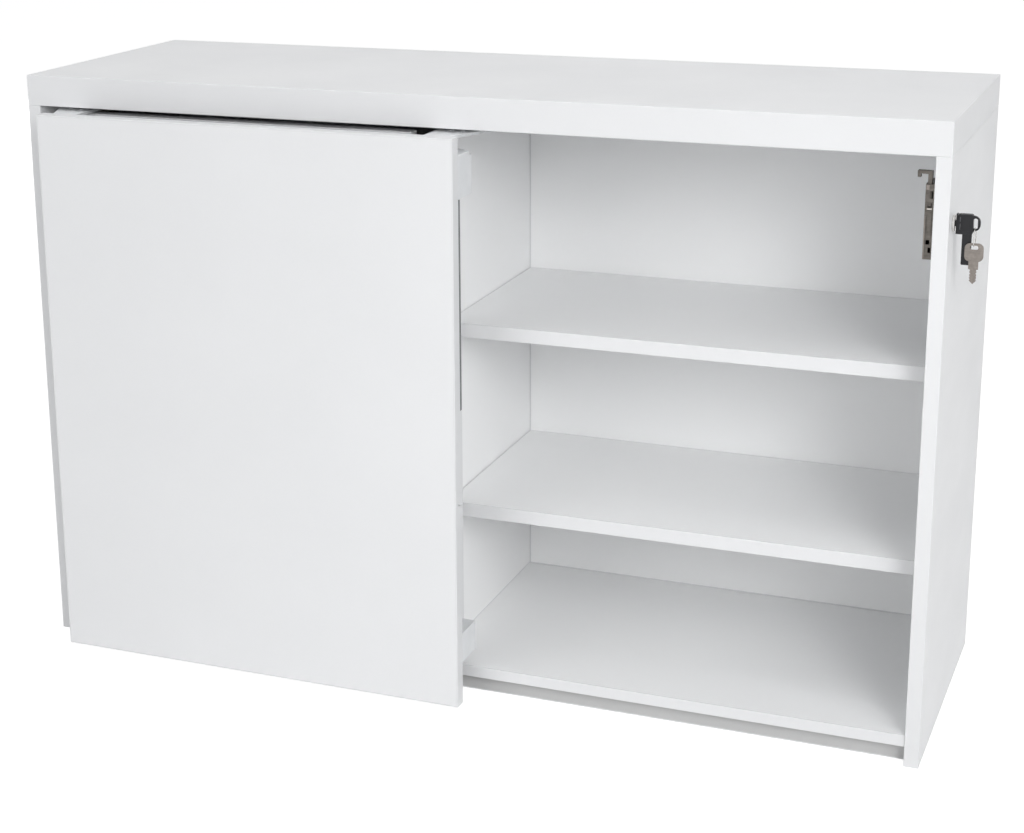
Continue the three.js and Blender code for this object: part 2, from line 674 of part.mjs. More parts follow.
// Lock case on the inner face of the right side panel, open towards the panel
const lock = new THREE.Group();
credenza.add(lock);
const hookSlot = boxBetween(
  [hookRight - HOOK_STEM - FIT, hookFront - FIT, caseTop - CASE_WALL * 2],
  [hookRight + FIT, hookBack + FIT, caseTop + OVERCUT],
);
place(lock, 'lock_case', shaped(
  boxBetween([lockFace, CASE_SETBACK, caseLow], [rightInner, caseBack, caseTop]),
  {
    cuts: [
      boxBetween(
        [lockFace + CASE_WALL, CASE_SETBACK + CASE_WALL, caseLow + CASE_WALL],
        [rightInner + OVERCUT, caseBack - CASE_WALL, caseTop - CASE_WALL],
      ),
      hookSlot,
      ...screwLevels.map((z) => rodAlongX(
        SCREW_RADIUS + FIT, lockFace - OVERCUT, rightInner, screwY, z, FEW_SIDES,
      )),
    ],
  },
), nickel);
screwLevels.forEach((z, index) => {
  const name = index === 0 ? 'lock_screw_lower' : 'lock_screw_upper';
  const screwEnd = rightInner + SCREW_IN_PANEL;
  place(lock, name, shaped(
    rodAlongX(SCREW_HEAD_RADIUS, lockFace - SCREW_HEAD_HEIGHT, lockFace, screwY, z, ROUND_SIDES),
    { joined: [rodAlongX(SCREW_RADIUS, lockFace - OVERCUT, screwEnd, screwY, z, FEW_SIDES)] },
  ), nickel);
});

// Hook bolt: its stem rises from the case, and its tip drops into the keeper when the key turns
const hookProfile = polygon([
  [hookRight, caseTop - HOOK_IN_CASE],
  [hookRight, hookArmTop],
  [hookTipLeft, hookArmTop],
  [hookTipLeft, hookTipLow],
  [hookTipLeft + HOOK_TIP, hookTipLow],
  [hookTipLeft + HOOK_TIP, hookArmLow],
  [hookRight - HOOK_STEM, hookArmLow],
  [hookRight - HOOK_STEM, caseTop - HOOK_IN_CASE],
]);
place(lock, 'hook_bolt', alongY(hookProfile, hookFront, hookBack), nickel);

// Lock cylinder in the panel's bore, with its flange on the outer face
const plugInner = rightInner - CASE_WALL * 2;
const plugFace = WIDTH + FLANGE_THICKNESS;
const plugBore = PLUG_RADIUS + FIT;
place(lock, 'lock_cylinder', shaped(
  rodAlongX(CYLINDER_RADIUS, rightInner, WIDTH + OVERCUT, LOCK_SETBACK, lockHeight, ROUND_SIDES),
  {
    joined: [rodAlongX(FLANGE_RADIUS, WIDTH, plugFace, LOCK_SETBACK, lockHeight, ROUND_SIDES)],
    cuts: [rodAlongX(
      plugBore, rightInner - OVERCUT, plugFace + OVERCUT, LOCK_SETBACK, lockHeight, ROUND_SIDES,
    )],
  },
), nickel);

// Everything that turns with the key, placed from the lock's axis on the panel's outer face
const turning = new THREE.Group();
turning.position.set(WIDTH, LOCK_SETBACK, lockHeight);
lock.add(turning);
const keyFace = FLANGE_THICKNESS + KEY_STANDOFF;
const plugStart = plugInner - WIDTH;
const bladeEnd = keyFace - KEY_BLADE_LENGTH;
const halfBlade = KEY_BLADE_HEIGHT / 2;
const halfThin = KEY_BLADE_THICKNESS / 2;
place(turning, 'lock_plug', shaped(
  rodAlongX(PLUG_RADIUS, plugStart, FLANGE_THICKNESS, 0, 0, ROUND_SIDES),
  {
    joined: [boxBetween(
      [plugStart - CAM_THICKNESS, -CAM_WIDTH / 2, -CAM_LENGTH],
      [plugStart, CAM_WIDTH / 2, CAM_WIDTH / 2],
    )],
    cuts: [boxBetween(
      [bladeEnd - FIT, -halfThin - FIT, -halfBlade - FIT],
      [keyFace + OVERCUT, halfThin + FIT, halfBlade + FIT],
    )],
  },
), nickel);

// Key base: a plate and a round-ended tongue on the blade that stands in the plug
const headHigh = KEY_HEIGHT / 2;
const halfKey = KEY_THICKNESS / 2;
const halfTongue = KEY_TONGUE / 2;
const pivotX = keyFace + KEY_PIVOT_REACH;
const pinHoleInKey = rodAlongZ(
  KEY_PIN_RADIUS + FIT, -headHigh - OVERCUT, headHigh + OVERCUT, pivotX, 0, FEW_SIDES,
);
place(turning, 'key_base', shaped(
  boxBetween([keyFace, -halfKey, -headHigh], [keyFace + KEY_BASE_PLATE, halfKey, headHigh]),
  {
    joined: [
      boxBetween([bladeEnd, -halfThin, -halfBlade], [keyFace + OVERCUT, halfThin, halfBlade]),
      boxBetween([keyFace, -halfKey, -halfTongue], [pivotX, halfKey, halfTongue]),
      rodAlongZ(halfKey, -halfTongue, halfTongue, pivotX, 0, ROUND_SIDES),
    ],
    cuts: [pinHoleInKey],
  },
), blackPlastic);
const pivotPin = rodAlongZ(KEY_PIN_RADIUS, -headHigh, headHigh, pivotX, 0, FEW_SIDES);
place(turning, 'key_pivot_pin', pivotPin, nickel);

// Key bow: two knuckles round the pin, a block, a hanging handle and a loop at the outer end
const bowEnd = pivotX + KEY_BOW_LENGTH;
const loopLow = LOOP_BAR / 2 - LOOP_HEIGHT / 2;
const loopFront = -halfKey;
const loopBack = loopFront + LOOP_THICKNESS;
const loopHoleLow = loopLow + LOOP_BAR;
const loopHoleHeight = LOOP_HEIGHT - 2 * LOOP_BAR;
const loopHoleWidth = LOOP_REACH - LOOP_BAR;
const blockOutline = roundedRectangle(
  pivotX - halfKey, -headHigh, KEY_BOW_LENGTH + halfKey, KEY_HEIGHT, KEY_CORNER,
);
const loopOutline = roundedRectangle(
  bowEnd - LOOP_REACH, loopLow, LOOP_REACH * 2, LOOP_HEIGHT, LOOP_REACH - FIT,
);
const loopHole = roundedRectangle(
  bowEnd, loopHoleLow, loopHoleWidth, loopHoleHeight, loopHoleWidth / 2 - FIT,
);
const knuckle = rodAlongZ(halfKey, -headHigh, headHigh, pivotX, 0, ROUND_SIDES);
const knuckleBlank = boxBetween(
  [pivotX - halfKey - OVERCUT, -halfKey - OVERCUT, -headHigh - OVERCUT],
  [pivotX, halfKey + OVERCUT, headHigh + OVERCUT],
);
const bowBlock = shaped(alongY(blockOutline, -halfKey, halfKey), { cuts: [knuckleBlank] });
const handleLeft = pivotX + HANDLE_INSET;
const handleLow = -headHigh - HANDLE_LENGTH;
place(turning, 'key_bow', shaped(bowBlock, {
  joined: [
    knuckle,
    alongY(
      roundedRectangle(handleLeft, handleLow, HANDLE_WIDTH, HANDLE_LENGTH + KEY_CORNER * 2, KEY_CORNER / 2),
      FIT, halfKey,
    ),
    alongY(loopOutline, loopFront, loopBack),
  ],
  cuts: [
    alongY(loopHole, loopFront - OVERCUT, loopBack + OVERCUT),
    boxBetween(
      [pivotX - KEY_THICKNESS, -KEY_THICKNESS, -halfTongue - FIT],
      [pivotX + halfKey + FIT, KEY_THICKNESS, halfTongue + FIT],
    ),
    pinHoleInKey,
  ],
}), blackPlastic);

// Wire ring hanging on the loop's lower bar, with the spare key hanging in the ring
const ringX = bowEnd + loopHoleWidth / 2;
const ringY = (loopFront + loopBack) / 2;
const ringTopZ = loopHoleLow + RING_WIRE + RING_PLAY;
const ringLowZ = ringTopZ - 2 * RING_RADIUS;
const ring = new THREE.TorusGeometry(RING_RADIUS, RING_WIRE, 6, 28).rotateY(Math.PI / 2);
place(turning, 'key_ring', ring.translate(ringX, ringY, ringTopZ - RING_RADIUS), nickel);

// Spare key: a rounded bow with a slot for the ring, a neck, and a blade cut on both edges
const slotTop = ringLowZ + RING_WIRE + FIT;
const bowTop = slotTop + SPARE_SLOT_EDGE;
const bowLow = bowTop - SPARE_BOW_HEIGHT;
const shoulder = bowLow - SPARE_NECK_LENGTH;
const bladeLow = shoulder - SPARE_BLADE_LENGTH;
const halfBow = SPARE_BOW_WIDTH / 2;
const halfNeck = SPARE_NECK_WIDTH / 2;
const halfSpare = SPARE_BLADE_WIDTH / 2;
const spareFront = ringY - SPARE_THICKNESS / 2;
const spareBack = ringY + SPARE_THICKNESS / 2;
const bow = roundedRectangle(
  ringX - halfBow, bowLow, SPARE_BOW_WIDTH, SPARE_BOW_HEIGHT, SPARE_BOW_CORNER,
);
const stemRight = [
  [halfNeck, bowLow],
  [halfNeck, shoulder],
  [halfSpare, shoulder],
  [halfSpare, bladeLow + halfSpare],
];
const stemLeft = stemRight.map(([across, z]) => [-across, z]).reverse();
const stem = [...stemRight, [0, bladeLow], ...stemLeft].map(([across, z]) => [ringX + across, z]);
stem.push([ringX, bowTop - SPARE_BOW_CORNER]);
const spareSlot = roundedRectangle(
  ringX - SPARE_SLOT_WIDTH / 2, slotTop - SPARE_SLOT_HEIGHT,
  SPARE_SLOT_WIDTH, SPARE_SLOT_HEIGHT, SPARE_SLOT_HEIGHT / 2 - FIT,
);
const bittingPitch = (SPARE_BLADE_LENGTH - halfSpare) / BITTING_DEPTHS.length;
const bitting = [-1, 1].flatMap((side) => BITTING_DEPTHS.map((depth, index) => {
  const z = shoulder - bittingPitch * (index + 0.5);
  const edge = ringX + side * halfSpare;
  const outside = edge + side * OVERCUT;
  const notch = polygon([
    [edge - side * depth, z],
    [outside, z - bittingPitch / 2],
    [outside, z + bittingPitch / 2],
  ]);
  return alongY(notch, spareFront - OVERCUT, spareBack + OVERCUT);
}));
place(turning, 'spare_key', shaped(
  alongY(bow, spareFront, spareBack),
  {
    joined: [alongY(polygon(stem), spareFront, spareBack)],
    cuts: [alongY(spareSlot, spareFront - OVERCUT, spareBack + OVERCUT), ...bitting],
  },
), nickel);

// The origin goes to the bottom centre of the whole object
credenza.updateMatrixWorld(true);
const bounds = new THREE.Box3().setFromObject(credenza);
const centre = bounds.getCenter(new THREE.Vector3());
credenza.position.set(-centre.x, -centre.y, -bounds.min.z);

export default credenza;
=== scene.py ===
import math

import bmesh
import bpy
from mathutils import Matrix, Vector


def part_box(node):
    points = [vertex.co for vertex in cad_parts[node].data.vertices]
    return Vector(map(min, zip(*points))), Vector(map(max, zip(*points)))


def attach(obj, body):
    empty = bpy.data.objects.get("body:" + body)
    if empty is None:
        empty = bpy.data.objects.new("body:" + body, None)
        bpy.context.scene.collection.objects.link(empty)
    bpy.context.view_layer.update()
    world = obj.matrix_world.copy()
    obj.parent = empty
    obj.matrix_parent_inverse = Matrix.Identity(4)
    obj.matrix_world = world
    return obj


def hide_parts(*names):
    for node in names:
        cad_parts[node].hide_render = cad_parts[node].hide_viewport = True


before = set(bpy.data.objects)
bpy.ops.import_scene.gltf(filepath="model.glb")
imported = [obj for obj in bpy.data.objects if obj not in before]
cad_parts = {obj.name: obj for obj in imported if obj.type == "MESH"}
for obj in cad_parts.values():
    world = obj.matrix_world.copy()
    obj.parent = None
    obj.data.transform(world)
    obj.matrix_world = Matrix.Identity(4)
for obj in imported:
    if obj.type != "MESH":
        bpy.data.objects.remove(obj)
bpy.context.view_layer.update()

# Studio: a pale floor, an even white surround and five soft lamps, as for a catalogue picture.
# The floor looks white to the camera and still takes the cabinet's shadow. The two lamps that the
# top would mirror along its whole length are kept out of the gloss.
scene = bpy.context.scene
scene.view_settings.view_transform = "Standard"


def link(tree, source, target):
    """Joins an output of a shader tree to an input."""
    tree.links.new(source, target)


def backdrop_mask(tree):
    """1 for rays that see the surround directly, in a mirror or through glass; 0 for light that falls."""
    path = tree.nodes.new("ShaderNodeLightPath")
    mirror = tree.nodes.new("ShaderNodeMath")
    mirror.operation = "MAXIMUM"
    link(tree, path.outputs["Is Camera Ray"], mirror.inputs[0])
    link(tree, path.outputs["Is Glossy Ray"], mirror.inputs[1])
    seen = tree.nodes.new("ShaderNodeMath")
    seen.operation = "MAXIMUM"
    link(tree, mirror.outputs[0], seen.inputs[0])
    link(tree, path.outputs["Is Transmission Ray"], seen.inputs[1])
    return seen.outputs[0]


world = bpy.data.worlds.new("studio_surround")
scene.world = world
world.use_nodes = True
world_tree = world.node_tree
world_tree.nodes.clear()
falling_light = world_tree.nodes.new("ShaderNodeBackground")
falling_light.inputs["Color"].default_value = (0.97, 0.985, 1.0, 1.0)
falling_light.inputs["Strength"].default_value = 0.30
seen_white = world_tree.nodes.new("ShaderNodeBackground")
seen_white.inputs["Color"].default_value = (1.0, 1.0, 1.0, 1.0)
seen_white.inputs["Strength"].default_value = 1.0
world_mix = world_tree.nodes.new("ShaderNodeMixShader")
world_out = world_tree.nodes.new("ShaderNodeOutputWorld")
link(world_tree, backdrop_mask(world_tree), world_mix.inputs[0])
link(world_tree, falling_light.outputs[0], world_mix.inputs[1])
link(world_tree, seen_white.outputs[0], world_mix.inputs[2])
link(world_tree, world_mix.outputs[0], world_out.inputs["Surface"])


def rectangle(low, high):
    """The four corners between a low and a high point, in two axes."""
    return [(low[0], low[1]), (high[0], low[1]), (high[0], high[1]), (low[0], high[1])]


floor_half = 9.0
floor_corners = [(x, y, 0) for x, y in rectangle((-floor_half, -floor_half), (floor_half, floor_half))]
floor_mesh = bpy.data.meshes.new("studio_floor")
floor_mesh.from_pydata(floor_corners, [], [(0, 1, 2, 3)])
floor = bpy.data.objects.new("studio_floor", floor_mesh)
scene.collection.objects.link(floor)
floor_paint = bpy.data.materials.new("floor_paint")
floor_paint.use_nodes = True
floor_tree = floor_paint.node_tree
floor_tree.nodes.clear()
floor_diffuse = floor_tree.nodes.new("ShaderNodeBsdfDiffuse")
floor_diffuse.inputs["Color"].default_value = (0.85, 0.85, 0.85, 1.0)
floor_shadow = floor_tree.nodes.new("ShaderNodeBsdfDiffuse")
floor_shadow.inputs["Color"].default_value = (0.36, 0.36, 0.36, 1.0)
floor_glow = floor_tree.nodes.new("ShaderNodeEmission")
floor_glow.inputs["Strength"].default_value = 0.88
floor_seen = floor_tree.nodes.new("ShaderNodeAddShader")
floor_mix = floor_tree.nodes.new("ShaderNodeMixShader")
floor_out = floor_tree.nodes.new("ShaderNodeOutputMaterial")
link(floor_tree, floor_shadow.outputs[0], floor_seen.inputs[0])
link(floor_tree, floor_glow.outputs[0], floor_seen.inputs[1])
link(floor_tree, backdrop_mask(floor_tree), floor_mix.inputs[0])
link(floor_tree, floor_diffuse.outputs[0], floor_mix.inputs[1])
link(floor_tree, floor_seen.outputs[0], floor_mix.inputs[2])
link(floor_tree, floor_mix.outputs[0], floor_out.inputs["Surface"])
floor_mesh.materials.append(floor_paint)


def soft_lamp(name, place, aim, size, watts, spread=180.0, mirrored=True):
    """A rectangular soft lamp; a spread under 180 degrees stands for a grid on it."""
    lamp = bpy.data.lights.new(name, "AREA")
    lamp.shape = "RECTANGLE"
    lamp.size, lamp.size_y = size
    lamp.energy = watts
    lamp.spread = math.radians(spread)
    lamp_object = bpy.data.objects.new(name, lamp)
    scene.collection.objects.link(lamp_object)
    lamp_object.location = place
    lamp_object.visible_glossy = mirrored
    lamp_object.rotation_mode = "QUATERNION"
    lamp_object.rotation_quaternion = (Vector(aim) - Vector(place)).to_track_quat("-Z", "Y")


soft_lamp("right_lamp", (7.4, -7.4, 5.4), aim=(0.1, 0.1, 0.40), size=(7.4, 6.7), watts=490.0, mirrored=False)
soft_lamp("front_lamp", (-2.0, -4.2, 1.9), aim=(0.0, 0.1, 0.40), size=(3.2, 2.4), watts=48.0)
soft_lamp("overhead_lamp", (0.0, -0.2, 3.2), aim=(0.0, 0.1, 0.50), size=(2.4, 2.4), watts=24.0)
soft_lamp("back_lamp", (-3.0, 4.4, 0.6), aim=(0.0, 0.2, 0.40), size=(3.4, 1.0), watts=90.0, mirrored=False)
soft_lamp("shelf_lamp", (1.5, -1.9, 1.3), aim=(0.20, 0.15, 0.30), size=(0.8, 0.8), watts=1.5, spread=50.0)

camera_place = Vector((0.8902, -2.4016, 1.1498))
view_azimuth = math.radians(22.168)
view_elevation = math.radians(15.397)
view_roll = math.radians(-0.633)
look = Vector((
    -math.sin(view_azimuth) * math.cos(view_elevation),
    math.cos(view_azimuth) * math.cos(view_elevation),
    -math.sin(view_elevation),
))
level_right = look.cross(Vector((0, 0, 1))).normalized()
level_up = level_right.cross(look)
camera_right = level_right * math.cos(view_roll) + level_up * math.sin(view_roll)
camera_up = camera_right.cross(look)
camera_data = bpy.data.cameras.new("photo_camera")
camera_data.sensor_width = 36.0
camera_data.lens = 70.432
camera_data.shift_x = 0.06
camera_data.shift_y = -0.08
camera = bpy.data.objects.new("photo_camera", camera_data)
scene.collection.objects.link(camera)
camera_turn = Matrix((camera_right, camera_up, -look)).transposed()
camera.matrix_world = Matrix.Translation(camera_place) @ camera_turn.to_4x4()
scene.camera = camera

# Bottom panel and plinth: chipboard faced with white melamine, the plinth boards standing under the
# bottom panel and set back from its front. All boards are banded with thin plastic on their edges,
# and a groove for the front door's rail is milled along the underside.
along_x, along_y, along_z = range(3)


def effect_group(name, *values):
    """An empty shader group with two colours and more values to set; returns it with its two ends."""
    tree = bpy.data.node_groups.new(name, "ShaderNodeTree")
    for label in ("Light", "Dark"):
        tree.interface.new_socket(name=label, in_out="INPUT", socket_type="NodeSocketColor")
    for label in values:
        tree.interface.new_socket(name=label, in_out="INPUT", socket_type="NodeSocketFloat")
    tree.interface.new_socket(name="Colour", in_out="OUTPUT", socket_type="NodeSocketColor")
    for label in ("Roughness", "Height"):
        tree.interface.new_socket(name=label, in_out="OUTPUT", socket_type="NodeSocketFloat")
    return tree, tree.nodes.new("NodeGroupInput").outputs, tree.nodes.new("NodeGroupOutput").inputs


def noise(tree, place, scale, detail=2.0, roughness=0.5):
    """A noise value at a place on the piece."""
    node = tree.nodes.new("ShaderNodeTexNoise")
    node.inputs["Scale"].default_value = scale
    node.inputs["Detail"].default_value = detail
    node.inputs["Roughness"].default_value = roughness
    link(tree, place, node.inputs["Vector"])
    return node.outputs["Fac"]


def stretched(tree, factors):
    """The piece's own coordinates, squeezed along each axis by the given factors."""
    coordinates = tree.nodes.new("ShaderNodeTexCoord")
    mapping = tree.nodes.new("ShaderNodeMapping")
    mapping.inputs["Scale"].default_value = factors
    link(tree, coordinates.outputs["Object"], mapping.inputs["Vector"])
    return mapping.outputs["Vector"]


def ranged(tree, value, low, high, from_low=0.3, from_high=0.7):
    """A noise value, brought to lie between low and high."""
    node = tree.nodes.new("ShaderNodeMapRange")
    node.inputs["From Min"].default_value = from_low
    node.inputs["From Max"].default_value = from_high
    node.inputs["To Min"].default_value = low
    node.inputs["To Max"].default_value = high
    link(tree, value, node.inputs["Value"])
    return node.outputs["Result"]


def arithmetic(tree, operation, first, second):
    """Two values, or a value and a number, put together by a sum or a product."""
    node = tree.nodes.new("ShaderNodeMath")
    node.operation = operation
    for socket, value in zip(node.inputs, (first, second)):
        if isinstance(value, (int, float)):
            socket.default_value = value
        else:
            link(tree, value, socket)
    return node.outputs[0]


def tinted(tree, fac, first, second):
    """A colour between two others, by a factor."""
    node = tree.nodes.new("ShaderNodeMix")
    node.data_type = "RGBA"
    first_colour, second_colour, mixed_colour = node.inputs[6], node.inputs[7], node.outputs[2]
    link(tree, fac, node.inputs["Factor"])
    link(tree, first, first_colour)
    link(tree, second, second_colour)
    return mixed_colour


# Melamine face: a faint clouding, a fine pearl in the pressed surface, and wiped smears that change
# only its gloss. The boards inside get a lighter white than the outer ones, painted light that makes
# up for the shade inside the bays, and the plinth is grey.
melamine, melamine_in, melamine_out = effect_group("melamine_face")
melamine_even = stretched(melamine, (1, 1, 1))
melamine_cloud = noise(melamine, melamine_even, scale=5.5, detail=4.0, roughness=0.6)
melamine_speck = noise(melamine, melamine_even, scale=420.0, roughness=0.6)
melamine_shade = arithmetic(
    melamine, "ADD", ranged(melamine, melamine_cloud, 0.0, 0.7), ranged(melamine, melamine_speck, 0.0, 0.3),
)
melamine_smear = noise(melamine, stretched(melamine, (3.0, 3.0, 9.0)), scale=2.4, detail=5.0, roughness=0.62)
melamine_pearl = noise(melamine, melamine_even, scale=1500.0, roughness=0.55)
melamine_wave = arithmetic(melamine, "MULTIPLY", noise(melamine, melamine_even, scale=60.0), 0.8)
melamine_colour = tinted(melamine, melamine_shade, melamine_in["Dark"], melamine_in["Light"])
link(melamine, melamine_colour, melamine_out["Colour"])
link(melamine, ranged(melamine, melamine_smear, 0.33, 0.47), melamine_out["Roughness"])
link(melamine, arithmetic(melamine, "ADD", melamine_pearl, melamine_wave), melamine_out["Height"])


def finish_from(name, group, bump_distance, settings):
    """A material whose colour, gloss and relief come from a shared effect; the rest sits on the shader."""
    material = bpy.data.materials.new(name)
    material.use_nodes = True
    tree = material.node_tree
    shader = tree.nodes["Principled BSDF"]
    effect = tree.nodes.new("ShaderNodeGroup")
    effect.node_tree = group
    for label, value in settings.items():
        if label in effect.inputs:
            effect.inputs[label].default_value = value
        else:
            shader.inputs[label].default_value = value
    link(tree, effect.outputs["Colour"], shader.inputs["Base Color"])
    link(tree, effect.outputs["Roughness"], shader.inputs["Roughness"])
    bump = tree.nodes.new("ShaderNodeBump")
    bump.inputs["Distance"].default_value = bump_distance
    bump.inputs["Strength"].default_value = 1.0
    link(tree, effect.outputs["Height"], bump.inputs["Height"])
    link(tree, bump.outputs["Normal"], shader.inputs["Normal"])
    return material


white_face = finish_from("white_melamine", melamine, 0.00004, {
    "Light": (0.805, 0.81, 0.82, 1.0),
    "Dark": (0.78, 0.785, 0.795, 1.0),
    "Specular IOR Level": 0.42,
})
# Painted light: the boards inside are a lighter white, to make up for the shade in the bays.
shade_lifted_face = finish_from("white_melamine_painted_light", melamine, 0.00004, {
    "Light": (0.94, 0.945, 0.95, 1.0),
    "Dark": (0.92, 0.925, 0.93, 1.0),
    "Specular IOR Level": 0.42,
})
plinth_face = finish_from("grey_plinth_melamine", melamine, 0.00004, {
    "Light": (0.54, 0.54, 0.54, 1.0),
    "Dark": (0.50, 0.50, 0.50, 1.0),
    "Specular IOR Level": 0.42,
})
white_band = finish_from("white_edge_band", melamine, 0.00003, {
    "Light": (0.775, 0.78, 0.79, 1.0),
    "Dark": (0.755, 0.76, 0.77, 1.0),
    "Specular IOR Level": 0.5,
})
glue_line = finish_from("glue_line", melamine, 0.00004, {
    "Light": (0.76, 0.76, 0.76, 1.0),
    "Dark": (0.68, 0.68, 0.68, 1.0),
    "Specular IOR Level": 0.2,
})

face_place, band_place, glue_place = range(3)
band_thickness = 0.0020
band_radius = 0.0008
glue_width = 0.0004
glue_depth = 0.0002
overcut = 0.01


def add_piece(name, mesh, body, slot, *nodes):
    """A new piece that rides on a body and stands for CAD nodes."""
    piece = bpy.data.objects.new(name, mesh)
    scene.collection.objects.link(piece)
    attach(piece, body)
    if nodes:
        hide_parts(*nodes)
    return piece


def cut_away(piece, cutters):
    """Cuts other meshes out of a piece, for good."""
    for cutter in cutters:
        tool = bpy.data.objects.new("cutter", cutter)
        scene.collection.objects.link(tool)
        modifier = piece.modifiers.new("cut", "BOOLEAN")
        modifier.operation = "DIFFERENCE"
        modifier.solver = "EXACT"
        modifier.object = tool
        graph = bpy.context.evaluated_depsgraph_get()
        mesh = bpy.data.meshes.new_from_object(piece.evaluated_get(graph))
        piece.modifiers.clear()
        piece.data = mesh
        bpy.data.objects.remove(tool)


def other_axes(axis):
    """The two axes across the given one."""
    return [index for index in range(3) if index != axis]


def prism(outline, axis, start, end):
    """A closed bmesh: an outline in the two other axes, drawn along one axis."""
    solid = bmesh.new()
    across = other_axes(axis)
    ends = []
    for level in (start, end):
        ring = []
        for first, second in outline:
            point = [level, level, level]
            point[across[0]] = first
            point[across[1]] = second
            ring.append(solid.verts.new(point))
        ends.append(ring)
        solid.faces.new(ring)
    count = len(outline)
    for index in range(count):
        following = (index + 1) % count
        solid.faces.new((ends[0][index], ends[0][following], ends[1][following], ends[1][index]))
    bmesh.ops.recalc_face_normals(solid, faces=solid.faces[:])
    return solid


def as_mesh(name, solid):
    """Turns a bmesh into a mesh, and lets the bmesh go."""
    mesh = bpy.data.meshes.new(name)
    solid.to_mesh(mesh)
    solid.free()
    return mesh


def cutter_mesh(outline, axis, start, end):
    """An outline drawn along one axis, as a mesh to cut with."""
    return as_mesh("cutter", prism(outline, axis, start, end))


def board_mesh(name, outline, axis, start, end, face_finish):
    """A board banded all round: soft edges, and a hairline where each band meets the faces."""
    solid = prism(outline, axis, start, end)
    bmesh.ops.bevel(solid, geom=solid.edges[:], offset=band_radius, segments=3, profile=0.5, affect="EDGES")
    for face in solid.faces:
        face.material_index = band_place
    wide_faces = [face for face in solid.faces if abs(face.normal[axis]) > 0.9999]
    for face in wide_faces:
        bmesh.ops.inset_region(solid, faces=[face], thickness=band_thickness - band_radius)
        for depth in (-glue_depth, glue_depth):
            rim = bmesh.ops.inset_region(solid, faces=[face], thickness=glue_width / 2, depth=depth)
            for strip in rim["faces"]:
                strip.material_index = glue_place
        face.material_index = face_place
    mesh = as_mesh(name, solid)
    for material in (face_finish, white_band, glue_line):
        mesh.materials.append(material)
    return mesh


def board(node, body, axis, outline=None, face_finish=white_face):
    """A banded board in the place of a CAD node; its thickness runs along the given axis."""
    low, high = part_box(node)
    if outline is None:
        across = other_axes(axis)
        outline = rectangle([low[index] for index in across], [high[index] for index in across])
    mesh = board_mesh(node + "_board", outline, axis, low[axis], high[axis], face_finish)
    return add_piece(node + "_board", mesh, body, "white_laminate", node)


bottom = board("bottom_panel", "carcass", along_z, face_finish=shade_lifted_face)
bottom_low, bottom_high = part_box("bottom_panel")
rail_low, rail_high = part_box("lower_guide_rail")
rail_play = 0.0003
rail_groove = rectangle(
    (rail_low.y - rail_play, rail_low.z - overcut),
    (rail_high.y + rail_play, rail_high.z + rail_play),
)
cut_away(bottom, [cutter_mesh(rail_groove, along_x, bottom_low.x - overcut, bottom_high.x + overcut)])
for node in ("front_plinth", "rear_plinth"):
    board(node, "carcass", along_y, face_finish=plinth_face)
board("plinth_brace", "carcass", along_x, face_finish=plinth_face)

# Side panels: melamine boards that stand on the floor and carry the top. Blind holes are drilled for
# the shelf pins, and the right one is bored through for the lock cylinder.
bore_clearance = 0.0003
cylinder_radius = 0.008


def circle(centre, radius, sides=32):
    """An outline round a centre."""
    angles = [2 * math.pi * step / sides for step in range(sides)]
    return [(centre[0] + radius * math.cos(angle), centre[1] + radius * math.sin(angle)) for angle in angles]


def bores_for(nodes):
    """Bores along X that take the given round nodes."""
    cutters = []
    for node in nodes:
        low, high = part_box(node)
        middle = (low + high) / 2
        outline = circle((middle.y, middle.z), (high.y - low.y) / 2 + bore_clearance)
        cutters.append(cutter_mesh(outline, along_x, low.x - bore_clearance, high.x + bore_clearance))
    return cutters


def pin_names(side):
    """The four shelf pins of a side panel or of the divider."""
    return [f"{side}_{level}_{end}_pin" for level in ("upper", "lower") for end in ("front", "back")]


left_side = board("left_side_panel", "carcass", along_x)
cut_away(left_side, bores_for(pin_names("left")))
right_side = board("right_side_panel", "carcass", along_x)
cylinder_low, cylinder_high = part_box("lock_cylinder")
lock_middle = (cylinder_low + cylinder_high) / 2
lock_round = circle((lock_middle.y, lock_middle.z), cylinder_radius + bore_clearance)
lock_bore = cutter_mesh(lock_round, along_x, cylinder_low.x - overcut, cylinder_high.x + overcut)
cut_away(right_side, bores_for(pin_names("right")) + [lock_bore])

# Divider and backs: the upright board between the two bays, notched at its top front corner for the
# track, and the two back boards set in behind it.
divider_low, divider_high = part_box("centre_divider")
track_low, track_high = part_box("top_track")
track_room = 0.012
notch_low = track_low.z - track_room
notch_back = track_high.y + bore_clearance
divider = board("centre_divider", "carcass", along_x, [
    (divider_low.y, divider_low.z),
    (divider_high.y, divider_low.z),
    (divider_high.y, divider_high.z),
    (notch_back, divider_high.z),
    (notch_back, notch_low),
    (divider_low.y, notch_low),
], shade_lifted_face)
cut_away(divider, bores_for(pin_names("centre")))
for node in ("left_back_panel", "right_back_panel"):
    board(node, "carcass", along_y, face_finish=shade_lifted_face)

# Top: a thick slab of the same faced board, banded all round. It lies on the side panels, and no
# fixing shows from outside.
board("top_panel", "carcass", along_z)

# Shelves: four loose boards of the same make, two in each bay. Each one lies on four pins and can be
# lifted out.
for side in ("left", "right"):
    for level in ("upper", "lower"):
        board(f"{side}_{level}_shelf", "carcass", along_z, face_finish=shade_lifted_face)

